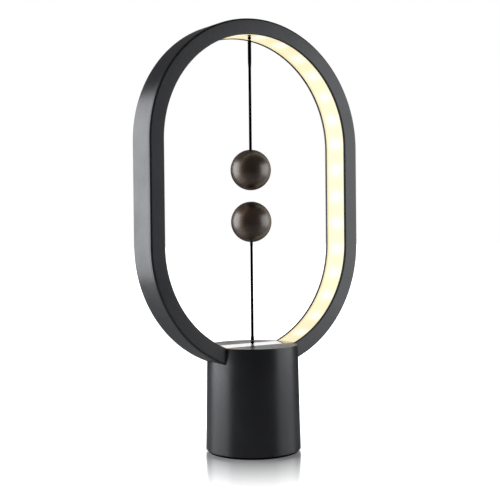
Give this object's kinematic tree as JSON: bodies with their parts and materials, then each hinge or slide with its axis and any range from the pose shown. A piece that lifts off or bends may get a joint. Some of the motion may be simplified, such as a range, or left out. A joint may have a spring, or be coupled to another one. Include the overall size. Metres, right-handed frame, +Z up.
{
  "type": "magnetic balance lamp",
  "caption": "Oval ring lamp on a round base, switched by lifting a small ball on a cord until it floats under a second ball that hangs from the ring.",
  "frame": {"origin": "centre of the base's foot, on the surface that the lamp stands on", "axes": "+Z up the lamp, +X across the ring, +Y towards the back, where the power inlet is"},
  "size_m": [0.138, 0.053, 0.24],
  "materials": {
    "shell_black": "satin black moulded shell",
    "cover_grey": "smooth dark grey",
    "bush_black": "polished black",
    "light_milky": "milky, lit warm white",
    "window_milky": "milky, softly lit",
    "ball_wood": "dark stained, satin lacquer",
    "cord_braid": "black braid",
    "magnet_nickel": "nickel plated",
    "steel_bright": "plated steel",
    "steel_screws": "zinc plated",
    "steel_weight": "raw steel",
    "brass_parts": "turned brass",
    "chassis_black": "glass-filled nylon",
    "board_green": "solder mask",
    "socket_core": "moulded black",
    "capacitor_can": "plain can",
    "plug_white": "natural nylon",
    "wire_sleeve": "red sleeve",
    "strip_white": "white flexible circuit",
    "chip_yellow": "phosphor face",
    "button_red": "moulded red",
    "foot_rubber": "silicone"
  },
  "bodies": {
    "lamp_body": {"base_shell": "shell_black", "ring_channel": "shell_black", "ring_front_cover": "shell_black", "base_floor": "shell_black", "top_cover": "cover_grey", "cord_bush": "bush_black", "upper_anchor": "bush_black", "ring_diffuser": "light_milky", "top_window": "window_milky", "switch_bracket": "steel_bright", "lever_pin": "steel_bright", "switch_pins": "steel_bright", "usb_socket_shell": "steel_bright", "return_spring": "steel_bright", "floor_screws": "steel_screws", "cover_screws": "steel_screws", "chassis_screws": "steel_screws", "ring_screws": "steel_screws", "board_screws": "steel_screws", "bracket_screws": "steel_screws", "ballast_plate": "steel_weight", "board_spacers": "brass_parts", "switch_terminals": "brass_parts", "chassis_plate": "chassis_black", "driver_board": "board_green", "usb_socket_tongue": "socket_core", "driver_chip": "socket_core", "power_inductor": "socket_core", "microswitch_case": "socket_core", "board_capacitors": "capacitor_can", "led_plug": "plug_white", "switch_plug": "plug_white", "led_wires": "wire_sleeve", "switch_wires": "wire_sleeve", "led_strip": "strip_white", "led_chips": "chip_yellow", "foot_pad": "foot_rubber"},
    "upper_bend": {"upper_cord_bend": "cord_braid"},
    "upper_ball_set": {"upper_cord": "cord_braid", "upper_cord_sleeve": "bush_black", "upper_cord_knot": "cord_braid", "upper_ball": "ball_wood", "upper_magnet": "magnet_nickel", "upper_ball_cap": "ball_wood"},
    "lower_bend": {"lower_cord_bend": "cord_braid"},
    "lower_cord_run": {"lower_cord": "cord_braid", "lower_cord_sleeve": "bush_black", "lower_cord_knot": "cord_braid"},
    "lower_ball_set": {"lower_ball": "ball_wood", "lower_magnet": "magnet_nickel", "lower_ball_cap": "ball_wood"},
    "cord_tail": {"lower_cord_tail": "cord_braid", "cord_crimp": "brass_parts"},
    "lever": {"switch_lever": "steel_bright"},
    "button": {"microswitch_button": "button_red"}
  },
  "joints": [
    {"name": "upper_swing_front", "type": "hinge", "parent": "lamp_body", "child": "upper_bend", "pos_m": [0, 0, 0.2309], "axis": [1, 0, 0], "range_deg": [-75, 75]},
    {"name": "upper_swing_side", "type": "hinge", "parent": "upper_bend", "child": "upper_ball_set", "pos_m": [0, 0, 0.2309], "axis": [0, 1, 0], "range_deg": [-38, 38]},
    {"name": "lower_swing_front", "type": "hinge", "parent": "lamp_body", "child": "lower_bend", "pos_m": [0, 0, 0.0606], "axis": [1, 0, 0], "range_deg": [-85, 85], "stiffness_Nm_per_rad": 0.03},
    {"name": "lower_swing_side", "type": "hinge", "parent": "lower_bend", "child": "lower_cord_run", "pos_m": [0, 0, 0.0606], "axis": [0, 1, 0], "range_deg": [-42, 42], "stiffness_Nm_per_rad": 0.03},
    {"name": "ball_pull", "type": "slide", "parent": "lower_cord_run", "child": "lower_ball_set", "axis": [0, 0, 1], "range_m": [-0.003, 0], "stiffness_N_per_m": 150, "springref_m": 0.003},
    {"name": "cord_pull", "type": "slide", "parent": "lamp_body", "child": "cord_tail", "axis": [0, 0, 1], "range_m": [-0.003, 0], "deforming": ["return_spring"]},
    {"name": "lever_turn", "type": "hinge", "parent": "lamp_body", "child": "lever", "pos_m": [-0.013, 0, 0.0319], "axis": [0, 1, 0], "range_deg": [0, 10.2]},
    {"name": "button_press", "type": "slide", "parent": "lamp_body", "child": "button", "axis": [0, 0, 1], "range_m": [-0.0008, 0]}
  ],
  "couplings": [
    {"joint": "cord_pull", "follows": "ball_pull", "ratio": 1},
    {"joint": "lever_turn", "follows": "ball_pull", "rad_per_m": -58},
    {"joint": "button_press", "follows": "ball_pull", "ratio": 0.26}
  ]
}
